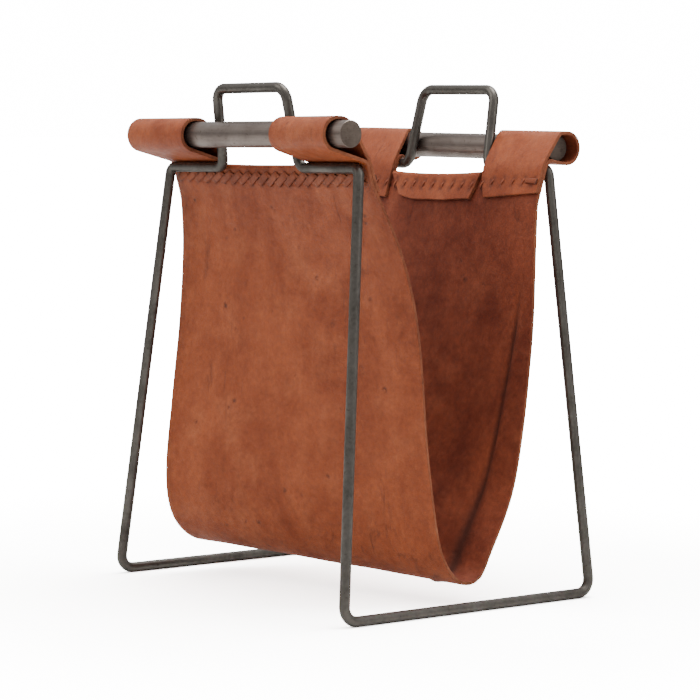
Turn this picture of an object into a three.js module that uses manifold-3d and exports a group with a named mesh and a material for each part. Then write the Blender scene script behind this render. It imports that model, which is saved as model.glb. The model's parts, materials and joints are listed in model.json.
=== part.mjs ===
// Magazine rack: two bent iron rods joined into one frame, two loose round steel bars, and a
// leather sling whose tabs loop round the bars and are laced shut.
//
// Millimetres, +Z up. The origin is on the floor in the middle of the footprint. X runs along
// the bars, and the near side is -Y. In a section across the rack, "out" is the distance from
// the middle plane towards either side.

import * as THREE from "three";
import { mergeVertices } from "three/addons/utils/BufferGeometryUtils.js";
import Module from "manifold-3d";

const wasm = await Module();
wasm.setup();

// ---------------------------------------------------------------- driving dimensions

// Frame. Spans and heights are between rod centre lines.
const ROD_DIAMETER = 8;
const FOOT_SPAN_X = 292;
const FOOT_SPAN_Y = 244;
const SHOULDER_SPAN_X = 240;
const SHOULDER_SPAN_Y = 185;
const SHOULDER_HEIGHT = 330;
const HANDLE_HEIGHT = 60; // above the shoulders
const HANDLE_LEAN = 11; // how far its top leans out
const HANDLE_FOOT_WIDTH = 97;
const HANDLE_TOP_WIDTH = 87;
const FOOT_BEND = 11; // bend radii of the centre line
const SHOULDER_BEND = 6;
const HANDLE_FOOT_BEND = 8;
const HANDLE_TOP_BEND = 11;
const GROUND_FLAT = 0.15; // filed off under the rails, so that the rack stands steady
const WELD_LENGTH = 2;
const WELD_PROUD = 0.3; // on the radius
const JOINT_GAP = 0.3; // between two pieces that touch

// Carrying bars.
const BAR_DIAMETER = 20;
const BAR_LENGTH = 245;
const BAR_END_CHAMFER = 0.8;

// Leather sling.
const LEATHER = 2.8;
const SLING_WIDTH = 248;
const TAB_WIDTH = 68;
const TAB_SLIT = 2; // between a tab and the hem beside it
const LOOP_CLEARANCE = 0.5; // leather to bar
const ROD_CLEARANCE = 0.45; // leather to rod
const BAND_TILT = 17; // degrees: the laced band leans in as it goes down

// Lace.
const LACE_DIAMETER = 2.2;
const LACE_PITCH = 11.8;
const LACE_STITCHES = 21;
const LACE_CLEARANCE = 0.45; // lace to leather
const LACE_BEND = 1.3;
const LACE_TAIL = 6;

// The two sides were bent, cut and hung by hand, so they differ a little. The last four are
// distances down the laced band from the shoulder rod.
const NEAR = {
  name: "near",
  sign: -1, // towards -Y
  lift: -1, // of the whole top of this side
  tilt: 0.018, // how much that top climbs for each millimetre towards +X
  barAboveShoulder: 24.8,
  barShift: 12, // from the middle of its loops
  loopSlack: 2.5, // spare leather on the outside of the bar
  tabRack: 2, // how far the tabs are drawn to the left at the bar
  hemTop: 3, // where the hide folds over between the tabs
  laceRows: [7, 18], // upper and lower row of holes
  flapEnd: 24, // where the folded layer ends
  bandEnd: 28, // where the hide starts to hang free
};
const FAR = {
  name: "far",
  sign: 1,
  lift: 1,
  tilt: 0,
  barAboveShoulder: 15.4,
  barShift: -12,
  loopSlack: 4.1,
  tabRack: 8,
  hemTop: 8.5,
  laceRows: [12, 21],
  flapEnd: 28,
  bandEnd: 31,
};
const SIDES = [NEAR, FAR];

// The hanging hide in section at its two ends, as [across, height] along the middle of the
// leather, from below the near band to below the far one. It hangs twisted, so they differ.
const LEFT_END = [
  [-72, 268], [-75, 212], [-83, 140], [-91, 86], [-88, 55], [-75, 36], [-55, 27],
  [-34, 34], [-10, 78], [18, 140], [43, 204], [66, 268],
];
const RIGHT_END = [
  [-61, 275], [-43, 234], [-34, 184], [-28, 133], [-21, 88], [-11, 42], [6, 18],
  [26, 18.5], [38, 38], [59, 84], [70, 148], [76, 222],
];

// Facets.
const ROD_SIDES = 12;
const BEND_STEPS = 4;
const BAR_SIDES = 32;
const LOOP_STEPS = 11;
const LACE_SIDES = 6;
const HOLE_SIDES = 6;
const HANG_STEPS = 34; // along the hanging hide
const SLING_STEPS = 6; // across its width

// ---------------------------------------------------------------- worked out from them

const ROD_RADIUS = ROD_DIAMETER / 2;
const BAR_RADIUS = BAR_DIAMETER / 2;
const RAIL_HEIGHT = ROD_RADIUS - GROUND_FLAT;
const SHOULDER = new THREE.Vector2(SHOULDER_SPAN_Y / 2, SHOULDER_HEIGHT);
const BAND_ANGLE = THREE.MathUtils.degToRad(BAND_TILT);
const BAND_DOWN = new THREE.Vector2(-Math.sin(BAND_ANGLE), -Math.cos(BAND_ANGLE));
const BAND_IN = new THREE.Vector2(-Math.cos(BAND_ANGLE), Math.sin(BAND_ANGLE));
const ROD_WRAP = ROD_RADIUS + ROD_CLEARANCE + LEATHER / 2;
const BAR_WRAP = BAR_RADIUS + LOOP_CLEARANCE + LEATHER / 2;
const FOLD_OVERLAP = 0.1; // one layer of the hide sinks this far into the one it lies on
const SEAM_OVERLAP = 4; // a tab starts this far below the top of the panel that it grows from
const FOLDED_LAYER = LEATHER - FOLD_OVERLAP; // spacing and thickness of a folded-down layer

// The bar rests against the outer faces of its handle's uprights, which lean out.
function barCentre(side) {
  const lean = HANDLE_LEAN / HANDLE_HEIGHT;
  const uprightFace = SHOULDER.x + lean * side.barAboveShoulder + ROD_RADIUS * Math.hypot(1, lean);
  const out = uprightFace + BAR_RADIUS * Math.hypot(1, lean) + JOINT_GAP;
  return new THREE.Vector2(out, SHOULDER.y + side.barAboveShoulder);
}

// How much higher the top of a side stands at x than its nominal height.
function liftAt(side, x) {
  return side.lift + side.tilt * x;
}

// A point of the laced band in section: down along it, and deep towards the rack's middle
// from the middle of the outer layer.
function bandPoint(down, deep) {
  return SHOULDER.clone()
    .addScaledVector(BAND_IN, ROD_WRAP + deep)
    .addScaledVector(BAND_DOWN, down);
}

// ---------------------------------------------------------------- solids and meshes

function solidOf(geometry) {
  const bare = geometry.clone();
  bare.deleteAttribute("normal");
  bare.deleteAttribute("uv");
  const merged = mergeVertices(bare, 1e-4);
  return new wasm.Manifold(
    new wasm.Mesh({
      numProp: 3,
      vertProperties: new Float32Array(merged.attributes.position.array),
      triVerts: new Uint32Array(merged.index.array),
    }),
  );
}

function geometryOf(solid) {
  const { vertProperties, triVerts } = solid.getMesh();
  const geometry = new THREE.BufferGeometry();
  geometry.setAttribute("position", new THREE.BufferAttribute(vertProperties, 3));
  geometry.setIndex(new THREE.BufferAttribute(triVerts, 1));
  geometry.computeVertexNormals();
  return geometry;
}

function polygon(sides, radius) {
  const corner = (_, i) => {
    const angle = (2 * Math.PI * i) / sides;
    return new THREE.Vector2(radius * Math.cos(angle), radius * Math.sin(angle));
  };
  return new THREE.Shape(Array.from({ length: sides }, corner));
}

// Moves every vertex of a geometry to where place(vertex) puts it.
function mapVertices(geometry, place) {
  const positions = geometry.attributes.position;
  const vertex = new THREE.Vector3();
  for (let i = 0; i < positions.count; i++) {
    place(vertex.fromBufferAttribute(positions, i));
    positions.setXYZ(i, vertex.x, vertex.y, vertex.z);
  }
  return geometry;
}

// A centre line of straight runs between corners, each corner rounded to its own radius.
// Every straight run takes one step and every bend a few.
class BentPath extends THREE.Curve {
  constructor(corners, bendSteps) {
    super();
    this.stations = [];
    corners.forEach((corner, i) => {
      const before = corners[i - 1];
      const after = corners[i + 1];
      if (before && after) this.addBend(before, corner, after, bendSteps);
      else this.addEnd(corner, before || corner, after || corner);
    });
  }

  get steps() {
    return this.stations.length - 1;
  }

  addEnd(corner, from, to) {
    const tangent = to.at.clone().sub(from.at).normalize();
    this.stations.push({ point: corner.at.clone(), tangent });
  }

  addBend(before, corner, after, steps) {
    const arriving = corner.at.clone().sub(before.at).normalize();
    const leaving = after.at.clone().sub(corner.at).normalize();
    const turn = arriving.angleTo(leaving);
    const axis = arriving.clone().cross(leaving).normalize();
    const toCentre = axis.clone().cross(arriving).multiplyScalar(corner.bend);
    const start = corner.at.clone().addScaledVector(arriving, -corner.bend * Math.tan(turn / 2));
    const centre = start.clone().add(toCentre);
    for (let step = 0; step <= steps; step++) {
      const angle = (turn * step) / steps;
      const point = toCentre.clone().negate().applyAxisAngle(axis, angle).add(centre);
      const tangent = arriving.clone().applyAxisAngle(axis, angle);
      this.stations.push({ point, tangent });
    }
  }

  station(u) {
    return this.stations[Math.round(u * this.steps)];
  }

  getPoint(u, target = new THREE.Vector3()) {
    return target.copy(this.station(u).point);
  }

  getPointAt(u, target) {
    return this.getPoint(u, target);
  }

  getTangentAt(u, target = new THREE.Vector3()) {
    return target.copy(this.station(u).tangent);
  }
}

function tubeAlong(path, sides, radius) {
  return new THREE.ExtrudeGeometry(polygon(sides, radius), {
    extrudePath: path,
    steps: path.steps,
    bevelEnabled: false,
  });
}

// A strip of leather in section: a closed outline half a thickness to each side of a line.
function stripOutline(line, thickness) {
  const left = [];
  const right = [];
  line.forEach((point, i) => {
    const before = line[Math.max(i - 1, 0)];
    const after = line[Math.min(i + 1, line.length - 1)];
    const arriving = (i > 0 ? point.clone().sub(before) : after.clone().sub(point)).normalize();
    const leaving = (after !== point ? after.clone().sub(point) : arriving.clone()).normalize();
    const across = arriving.clone().add(leaving).normalize();
    const stretch = thickness / 2 / across.dot(leaving);
    const normal = new THREE.Vector2(-across.y, across.x).multiplyScalar(stretch);
    left.push(point.clone().add(normal));
    right.push(point.clone().sub(normal));
  });
  return new THREE.Shape(left.concat(right.reverse()));
}

// Extrudes a section of one side from x = from to x = to, following that side's lift and tilt.
// rack draws it towards -X, more the further out it lies, until it is over the bar.
function sideStrip(side, line, thickness, from, to, rack) {
  const width = to - from;
  const strip = new THREE.ExtrudeGeometry(stripOutline(line, thickness), {
    depth: width,
    bevelEnabled: false,
  });
  return solidOf(
    mapVertices(strip, (v) => {
      const along = side.sign < 0 ? to - v.z : from + v.z;
      const outwards = (v.x - SHOULDER.x) / (barCentre(side).x - SHOULDER.x);
      const drawn = rack * THREE.MathUtils.clamp(outwards, 0, 1);
      v.set(along - drawn, side.sign * v.x, v.y + liftAt(side, along));
    }),
  );
}

// ---------------------------------------------------------------- frame

// One side of the frame: a single rod from the middle of the left rail, up the left leg, along
// the shoulder, round the handle, and down to the middle of the right rail.
function sideRodPath(side) {
  const y = (out) => side.sign * out;
  const top = (x, out, height) => new THREE.Vector3(x, y(out), height + liftAt(side, x));
  const handleTop = SHOULDER_HEIGHT + HANDLE_HEIGHT;
  const half = (end) => [
    { at: new THREE.Vector3((end * FOOT_SPAN_X) / 2, y(WELD_LENGTH / 2 + JOINT_GAP), RAIL_HEIGHT) },
    {
      at: new THREE.Vector3((end * FOOT_SPAN_X) / 2, y(FOOT_SPAN_Y / 2), RAIL_HEIGHT),
      bend: FOOT_BEND,
    },
    { at: top((end * SHOULDER_SPAN_X) / 2, SHOULDER.x, SHOULDER.y), bend: SHOULDER_BEND },
    { at: top((end * HANDLE_FOOT_WIDTH) / 2, SHOULDER.x, SHOULDER.y), bend: HANDLE_FOOT_BEND },
    {
      at: top((end * HANDLE_TOP_WIDTH) / 2, SHOULDER.x + HANDLE_LEAN, handleTop),
      bend: HANDLE_TOP_BEND,
    },
  ];
  return new BentPath([...half(-1), ...half(1).reverse()], BEND_STEPS);
}

function sideRod(side) {
  const rod = solidOf(tubeAlong(sideRodPath(side), ROD_SIDES, ROD_RADIUS));
  const belowFloor = new THREE.BoxGeometry(2 * FOOT_SPAN_X, 2 * FOOT_SPAN_Y, ROD_RADIUS);
  belowFloor.translate(0, 0, -ROD_RADIUS / 2);
  return geometryOf(rod.subtract(solidOf(belowFloor)));
}

// The bead between the two rods, dressed nearly flush. end is -1 on the left, 1 on the right.
function railWeld(end) {
  const bead = new THREE.CylinderGeometry(
    ROD_RADIUS + WELD_PROUD,
    ROD_RADIUS + WELD_PROUD,
    WELD_LENGTH,
    ROD_SIDES,
  );
  bead.translate((end * FOOT_SPAN_X) / 2, 0, RAIL_HEIGHT);
  const belowFloor = new THREE.BoxGeometry(2 * FOOT_SPAN_X, FOOT_SPAN_Y, ROD_DIAMETER);
  belowFloor.translate(0, 0, -ROD_RADIUS);
  return geometryOf(solidOf(bead).subtract(solidOf(belowFloor)));
}

// ---------------------------------------------------------------- carrying bars

// A round bar on the X axis, its sawn ends lightly chamfered.
function carryingBar() {
  const half = BAR_LENGTH / 2;
  const rim = BAR_RADIUS - BAR_END_CHAMFER;
  const profile = [
    [0, -half],
    [rim, -half],
    [BAR_RADIUS, -half + BAR_END_CHAMFER],
    [BAR_RADIUS, half - BAR_END_CHAMFER],
    [rim, half],
    [0, half],
  ].map(([radius, along]) => new THREE.Vector2(radius, along));
  return new THREE.LatheGeometry(profile, BAR_SIDES).rotateZ(-Math.PI / 2);
}

// ---------------------------------------------------------------- leather sling

// Points evenly spaced round a circle, from one angle to another.
function arc(centre, radius, from, to) {
  const points = [];
  for (let step = 0; step <= LOOP_STEPS; step++) {
    const angle = from + ((to - from) * step) / LOOP_STEPS;
    const spoke = new THREE.Vector2(Math.cos(angle), Math.sin(angle));
    points.push(centre.clone().addScaledVector(spoke, radius));
  }
  return points;
}

// The angle round the shoulder rod at which a hide that goes on under a loop circle leaves it.
function leaveRodFor(circle) {
  const reach = circle.clone().sub(SHOULDER);
  return reach.angle() + Math.acos((ROD_WRAP + BAR_WRAP) / reach.length());
}

// The middle line of a tab in section: up the band, out over the shoulder rod, under the bar,
// round it with a little slack, and back in to the knee where it lies on the band again. Where
// the straight way to the slack would cut into the bar, the hide touches the bar's side first.
function tabLine(side) {
  const bar = barCentre(side);
  const outer = bar.clone().add(new THREE.Vector2(side.loopSlack, 0));
  const touchesBar = leaveRodFor(outer) < Math.PI / 2;
  const leaveRod = leaveRodFor(touchesBar ? bar : outer);
  const touch = new THREE.Vector2(-Math.cos(leaveRod), -Math.sin(leaveRod));
  const knee = bandPoint(-1, FOLDED_LAYER);
  const back = bar.clone().sub(knee);
  const leaveBar = back.angle() + Math.asin(BAR_WRAP / back.length()) + Math.PI / 2;
  return [
    bandPoint(side.hemTop + SEAM_OVERLAP, 0),
    ...arc(SHOULDER, ROD_WRAP, BAND_IN.angle(), leaveRod),
    ...(touchesBar ? [bar.clone().addScaledVector(touch, BAR_WRAP)] : []),
    ...arc(outer, BAR_WRAP, touchesBar ? -Math.PI / 2 : leaveRod - Math.PI, Math.PI / 2),
    ...arc(bar, BAR_WRAP, Math.PI / 2, leaveBar),
    knee,
    bandPoint(1, FOLDED_LAYER),
  ];
}

// A layer of hide folded down inside the band.
function foldedLine(side, top) {
  return [bandPoint(top, FOLDED_LAYER), bandPoint(side.flapEnd, FOLDED_LAYER)];
}

// The middle line of the hanging hide at one end of the sling, in world [y, z]: down the near
// band, through the hang and up the far band, the hang in evenly spaced steps.
function hangLine(points, x) {
  const band = (side, down) => {
    const { x: out, y: height } = bandPoint(down, 0);
    return new THREE.Vector2(side.sign * out, height + liftAt(side, x));
  };
  const hang = points.map(([across, height]) => {
    const side = across < 0 ? NEAR : FAR;
    const share = Math.max(height / SHOULDER_HEIGHT, 0);
    return new THREE.Vector2(across, height + share * liftAt(side, x));
  });
  const curve = new THREE.SplineCurve([band(NEAR, NEAR.bandEnd), ...hang, band(FAR, FAR.bandEnd)]);
  return [band(NEAR, NEAR.hemTop), ...curve.getSpacedPoints(HANG_STEPS), band(FAR, FAR.hemTop)];
}

// The hanging hide: a flat sheet whose length follows the section, which changes evenly from
// one end of the sling to the other.
function hangingHide() {
  const left = hangLine(LEFT_END, -SLING_WIDTH / 2);
  const right = hangLine(RIGHT_END, SLING_WIDTH / 2);
  const runs = left.length - 1;
  const flat = new THREE.BoxGeometry(1, runs, 1, SLING_STEPS, runs, 1);
  return solidOf(
    mapVertices(flat, (v) => {
      const share = v.x + 0.5;
      const row = Math.round(v.y + runs / 2);
      const at = (i) => left[i].clone().lerp(right[i], share);
      const here = at(row);
      const along = at(Math.min(row + 1, runs)).sub(at(Math.max(row - 1, 0))).normalize();
      const inside = new THREE.Vector2(-along.y, along.x).multiplyScalar(v.z * LEATHER);
      here.add(inside);
      v.set((share - 0.5) * SLING_WIDTH, here.x, here.y);
    }),
  );
}

// x of every stitch, the row centred on the sling.
function stitchPlaces() {
  const first = (-(LACE_STITCHES - 1) * LACE_PITCH) / 2;
  return Array.from({ length: LACE_STITCHES }, (_, i) => first + i * LACE_PITCH);
}

// A place on one side's laced band, in the world.
function onBand(side, x, down, deep) {
  const { x: out, y: height } = bandPoint(down, deep);
  return new THREE.Vector3(x, side.sign * out, height + liftAt(side, x));
}

// The holes of one side, each straight through the layers of the band.
function laceHoles(side) {
  const radius = LACE_DIAMETER / 2 + LACE_CLEARANCE;
  const depth = 6 * LEATHER;
  const inwards = new THREE.Vector3(0, side.sign * BAND_IN.x, BAND_IN.y);
  const turn = new THREE.Quaternion().setFromUnitVectors(new THREE.Vector3(0, 1, 0), inwards);
  const holes = stitchPlaces().flatMap((x) =>
    side.laceRows.map((down) => {
      const middle = onBand(side, x, down, LEATHER / 2);
      const hole = new THREE.CylinderGeometry(radius, radius, depth, HOLE_SIDES);
      hole.applyQuaternion(turn).translate(middle.x, middle.y, middle.z);
      return solidOf(hole);
    }),
  );
  return wasm.Manifold.union(holes);
}

function leatherSling() {
  const edge = SLING_WIDTH / 2;
  const slit = edge - TAB_WIDTH;
  const hem = slit - TAB_SLIT;
  const pieces = [hangingHide()];
  for (const side of SIDES) {
    const tab = tabLine(side);
    for (const [from, to] of [[-edge, -slit], [slit, edge]]) {
      pieces.push(sideStrip(side, tab, LEATHER, from, to, side.tabRack));
      pieces.push(sideStrip(side, foldedLine(side, -1), FOLDED_LAYER, from, to, 0));
    }
    pieces.push(sideStrip(side, foldedLine(side, side.hemTop), FOLDED_LAYER, -hem, hem, 0));
  }
  const holes = wasm.Manifold.union(SIDES.map(laceHoles));
  return geometryOf(wasm.Manifold.union(pieces).subtract(holes));
}

// ---------------------------------------------------------------- lace

// One thong: up inside each stitch, out, and slanting down across the face to the next hole.
function lace(side) {
  const clear = LACE_DIAMETER / 2 + LACE_CLEARANCE;
  const outside = -LEATHER / 2 - clear;
  const inside = FOLDED_LAYER + FOLDED_LAYER / 2 + clear;
  const [upper, lower] = side.laceRows;
  const places = stitchPlaces();
  const turns = places.flatMap((x, i) => [
    ...(i > 0 ? [onBand(side, x, lower, outside)] : []),
    onBand(side, x, lower, inside),
    onBand(side, x, upper, inside),
    ...(i < places.length - 1 ? [onBand(side, x, upper, outside)] : []),
  ]);
  const tail = (x, down) => ({ at: onBand(side, x, down, inside) });
  const path = new BentPath(
    [
      tail(places[0] - LACE_TAIL, lower),
      ...turns.map((at) => ({ at, bend: LACE_BEND })),
      tail(places.at(-1) + LACE_TAIL, upper),
    ],
    1,
  );
  return tubeAlong(path, LACE_SIDES, LACE_DIAMETER / 2);
}

// ---------------------------------------------------------------- the rack

function finish(color, roughness, metalness) {
  return new THREE.MeshStandardMaterial({ color, roughness, metalness });
}

function piece(name, geometry, material) {
  const mesh = new THREE.Mesh(geometry, material);
  mesh.name = name;
  return mesh;
}

const rack = new THREE.Group();
rack.name = "magazine_rack";

for (const side of SIDES) {
  rack.add(piece(`${side.name}_side_rod`, sideRod(side), finish(0x4b4944, 0.45, 0.85)));
  rack.add(piece(`${side.name}_lace`, lace(side), finish(0x7a4630, 0.7, 0)));

  const bar = piece(`${side.name}_bar`, carryingBar(), finish(0x8a8078, 0.35, 0.95));
  const centre = barCentre(side);
  bar.rotation.y = -Math.atan(side.tilt);
  bar.position.set(
    side.barShift,
    side.sign * centre.x,
    centre.y + liftAt(side, side.barShift),
  );
  rack.add(bar);
}
rack.add(piece("left_rail_weld", railWeld(-1), finish(0x45423d, 0.5, 0.8)));
rack.add(piece("right_rail_weld", railWeld(1), finish(0x45423d, 0.5, 0.8)));
rack.add(piece("leather_sling", leatherSling(), finish(0xa0603f, 0.6, 0)));

export default rack;
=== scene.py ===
"""Magazine rack: a bent iron rod frame, two steel carrying bars and a laced leather sling.

Everything is in metres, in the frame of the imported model: X runs along the bars, the near side
is -Y and +Z is up. The bars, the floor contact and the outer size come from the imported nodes'
boxes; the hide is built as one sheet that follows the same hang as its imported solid.
"""

from __future__ import annotations

import json
import logging
import math
from collections.abc import Callable, Sequence
from dataclasses import dataclass, field
from enum import Enum
from functools import lru_cache

import bpy
import numpy as np
from mathutils import Matrix, Vector, noise


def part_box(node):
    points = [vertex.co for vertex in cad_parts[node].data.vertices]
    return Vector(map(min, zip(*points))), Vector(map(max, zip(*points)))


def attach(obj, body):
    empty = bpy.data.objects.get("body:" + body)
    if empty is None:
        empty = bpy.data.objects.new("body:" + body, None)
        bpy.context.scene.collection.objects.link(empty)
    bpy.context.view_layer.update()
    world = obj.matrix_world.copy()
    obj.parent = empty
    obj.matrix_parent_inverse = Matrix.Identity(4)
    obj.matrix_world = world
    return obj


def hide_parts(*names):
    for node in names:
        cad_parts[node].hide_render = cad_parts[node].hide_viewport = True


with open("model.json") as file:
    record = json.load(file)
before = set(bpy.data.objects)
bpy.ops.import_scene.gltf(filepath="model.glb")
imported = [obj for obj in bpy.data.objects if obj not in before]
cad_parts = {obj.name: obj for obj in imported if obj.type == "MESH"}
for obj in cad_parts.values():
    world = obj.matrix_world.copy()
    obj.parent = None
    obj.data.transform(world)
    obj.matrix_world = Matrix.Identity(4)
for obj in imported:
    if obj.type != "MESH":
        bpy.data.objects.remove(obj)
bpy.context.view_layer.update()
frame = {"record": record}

MM = 0.001
LOG = logging.getLogger("magazine_rack")


# ------------------------------------------------------------------------- shared sizes


@dataclass(frozen=True)
class Rod:
    """The bent rod of the frame, measured on its centre line."""

    radius: float = 4 * MM
    shoulder_out: float = 92.5 * MM
    shoulder_height: float = 330 * MM
    shoulder_half_length: float = 120 * MM
    handle_height: float = 60 * MM
    handle_lean: float = 11 * MM
    handle_foot_half: float = 48.5 * MM
    handle_top_half: float = 43.5 * MM
    foot_bend: float = 11 * MM
    shoulder_bend: float = 6 * MM
    handle_foot_bend: float = 8 * MM
    handle_top_bend: float = 11 * MM
    weld_half: float = 1.05 * MM
    filed: float = 0.15 * MM


@dataclass(frozen=True)
class Hide:
    """The leather: its cut, and how closely it wraps what it hangs on."""

    thickness: float = 2.6 * MM
    half_width: float = 124 * MM
    tab_inner: float = 56 * MM
    hem_half: float = 54 * MM
    fold_radius: float = 1.45 * MM
    rod_wrap: float = 5.85 * MM
    bar_wrap: float = 11.9 * MM
    band_tilt: float = math.radians(17)

    @property
    def inside(self) -> float:
        """How far a folded layer's inner face stands in from the middle of the panel."""
        return 2 * self.fold_radius + self.thickness / 2

    @property
    def hem_ends(self) -> tuple[float, float]:
        """x of the two ends of a hem."""
        return (-self.hem_half, self.hem_half)

    @property
    def tab_edges(self) -> tuple[float, float, float, float]:
        """x of the edges of the two tabs."""
        return (-self.half_width, -self.tab_inner, self.tab_inner, self.half_width)

    @property
    def lace_stations(self) -> tuple[float, ...]:
        """x of the places where the height of the lace is given."""
        return tuple(x * MM for x in (-120, -54, 0, 54, 68, 120))


@dataclass(frozen=True)
class Side:
    """What differs between the near and the far side of the rack.

    Depths run down from the shoulder's height, and lists run from left to right.

    Attributes:
        name: near or far.
        sign: the side's direction along Y.
        lift: how far this side stands above its nominal height.
        tilt: how much it climbs along X.
        loop_slack: how far out the loops hang from the bar.
        hem_top: depth of the hem's fold at its two ends.
        hem_sag: how much further it sags in the middle.
        hem_end: depth of the hem's cut edge at its two ends.
        hem_slant: how far each end of the hem is cut away towards its edge.
        lace_middle: depth of the lace at each station.
        lace_half: half of the lace's height at each station.
        flap_end: depth of the flaps' cut edges at the tabs' edges.
        flap_slant: how far the flap of the right tab is cut slantwise.
        band_end: depth at which the straight laced band ends.
        rack: how far the loops are drawn to the left at the tabs' edges.
    """

    name: str
    sign: float
    lift: float
    tilt: float
    loop_slack: float
    hem_top: tuple[float, float]
    hem_sag: float
    hem_end: tuple[float, float]
    hem_slant: tuple[float, float]
    lace_middle: tuple[float, ...]
    lace_half: tuple[float, ...]
    flap_end: tuple[float, float, float, float]
    flap_slant: float
    band_end: tuple[float, float]
    rack: tuple[float, float, float, float]

    def lift_at(self, x: float | np.ndarray) -> float | np.ndarray:
        """How far the top of this side stands above its nominal height at x."""
        return self.lift + self.tilt * x

    def sag(self, x: float) -> float:
        """How far the hem sags at x below the line between its two ends."""
        return self.hem_sag * max(1 - (x / HIDE.hem_half) ** 2, 0)

    def fold(self, x: float) -> float:
        """How far below the shoulder the hide is folded over at x."""
        return float(np.interp(x, HIDE.hem_ends, self.hem_top)) + self.sag(x)

    def hem_depth(self, x: float) -> float:
        """How far the hem reaches down from its fold at x.

        Args:
            x: the place along the bars.

        Returns:
            The depth of its cut edge below the fold.
        """
        uneven = 1.3 * MM * noise.noise(Vector((x * 30, self.sign, 0.5)))
        end = float(np.interp(x, HIDE.hem_ends, self.hem_end)) + 0.8 * self.sag(x)
        return end - self.fold(x) + uneven

    def lace_rows(self, x: float) -> tuple[float, float]:
        """The upper and the lower row of holes at x, down from the hide's fold.

        Args:
            x: the place along the bars.

        Returns:
            The depth of the upper row and of the lower one.
        """
        middle = float(np.interp(x, HIDE.lace_stations, self.lace_middle)) - self.fold(x)
        half = float(np.interp(x, HIDE.lace_stations, self.lace_half))
        return middle - half, middle + half


ROD = Rod()
HIDE = Hide()
NEAR = Side(
    name="near", sign=-1, lift=-1 * MM, tilt=0.018, loop_slack=2.5 * MM,
    hem_top=(2.4 * MM, 2.2 * MM), hem_sag=0.6 * MM, hem_end=(26 * MM, 26 * MM),
    hem_slant=(12 * MM, 8 * MM),
    lace_middle=tuple(v * MM for v in (8.4, 9.4, 10.6, 10.4, 10.2, 9.8)),
    lace_half=tuple(v * MM for v in (3.1, 3.8, 4.6, 4.4, 4.2, 3.6)),
    flap_end=(24 * MM, 25 * MM, 25 * MM, 22 * MM), flap_slant=0.0,
    band_end=(27 * MM, 15 * MM), rack=(7 * MM, 1 * MM, 0.0, 2.6 * MM),
)
FAR = Side(
    name="far", sign=1, lift=1 * MM, tilt=0.0, loop_slack=4.1 * MM,
    hem_top=(11.1 * MM, 9.3 * MM), hem_sag=2.0 * MM, hem_end=(29.8 * MM, 28.8 * MM),
    hem_slant=(16 * MM, 6 * MM),
    lace_middle=tuple(v * MM for v in (17.0, 19.2, 19.6, 18.6, 15.2, 13.2)),
    lace_half=tuple(v * MM for v in (3.4, 3.3, 3.5, 3.3, 3.2, 3.0)),
    flap_end=(27 * MM, 31 * MM, 27.8 * MM, 22.2 * MM), flap_slant=8.5 * MM,
    band_end=(31 * MM, 31 * MM), rack=(8 * MM, 13 * MM, 10 * MM, 6 * MM),
)
SIDES = (NEAR, FAR)

# The hanging hide in section at its two ends, [across, height] in millimetres.
LEFT_END = (
    (-76.5, 268), (-79.5, 212), (-86.5, 140), (-91, 88), (-87.5, 56), (-75, 36), (-55, 26),
    (-34, 34), (-10, 78), (18, 140), (43, 204), (66, 268),
)
RIGHT_END = (
    (-58, 275), (-43, 234), (-34, 184), (-28, 133), (-21, 88), (-11, 42), (6, 18.5),
    (26, 18.5), (38, 38), (59, 84), (70, 148), (76, 222),
)


# ------------------------------------------------------------------------- mesh helpers


def deselect() -> None:
    """Leaves edit mode and deselects everything."""
    if bpy.context.mode != "OBJECT":
        bpy.ops.object.mode_set(mode="OBJECT")
    bpy.ops.object.select_all(action="DESELECT")


def pick(piece: bpy.types.Object) -> None:
    """Selects one piece alone and makes it the active one."""
    deselect()
    piece.select_set(True)
    bpy.context.view_layer.objects.active = piece


def edit_all() -> None:
    """Enters edit mode on the active piece with all of it selected."""
    bpy.ops.object.mode_set(mode="EDIT")
    bpy.ops.mesh.select_all(action="SELECT")


def apply_place(piece: bpy.types.Object) -> None:
    """Moves an object's place, turn and scale into its mesh."""
    pick(piece)
    bpy.ops.object.transform_apply(location=True, rotation=True, scale=True)


def apply_modifiers(piece: bpy.types.Object) -> None:
    """Applies every modifier of a piece, in order.

    Args:
        piece: the piece.
    """
    pick(piece)
    for modifier in list(piece.modifiers):
        bpy.ops.object.modifier_apply(modifier=modifier.name)


def shade_smooth(piece: bpy.types.Object, degrees: float = 40) -> None:
    """Shades a piece smooth, except across edges sharper than the angle.

    Args:
        piece: the piece.
        degrees: the sharpest angle that is still shaded smooth.
    """
    pick(piece)
    bpy.ops.object.shade_smooth_by_angle(angle=math.radians(degrees))


def mesh_piece(name: str, points: Sequence, faces: Sequence) -> bpy.types.Object:
    """Makes an object of a list of points and faces.

    Args:
        name: the piece's name.
        points: its vertices, in metres.
        faces: tuples of vertex indices.

    Returns:
        The new object, at the origin.
    """
    mesh = bpy.data.meshes.new(name)
    mesh.from_pydata([tuple(p) for p in points], [], [tuple(f) for f in faces])
    mesh.update()
    piece = bpy.data.objects.new(name, mesh)
    bpy.context.collection.objects.link(piece)
    return piece


def dress(piece: bpy.types.Object, slot: str, *materials: bpy.types.Material) -> None:
    """Gives a piece its materials.

    Args:
        piece: the piece.
        slot: the name of the record's slot; not used.
        materials: its materials, in the order of their indices.
    """
    piece.data.materials.clear()
    for material in materials:
        piece.data.materials.append(material)


def centre_of(node: str) -> Vector:
    """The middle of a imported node's box."""
    low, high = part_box(node)
    return (Vector(low) + Vector(high)) / 2


# ------------------------------------------------------------------------- node graphs


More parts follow.
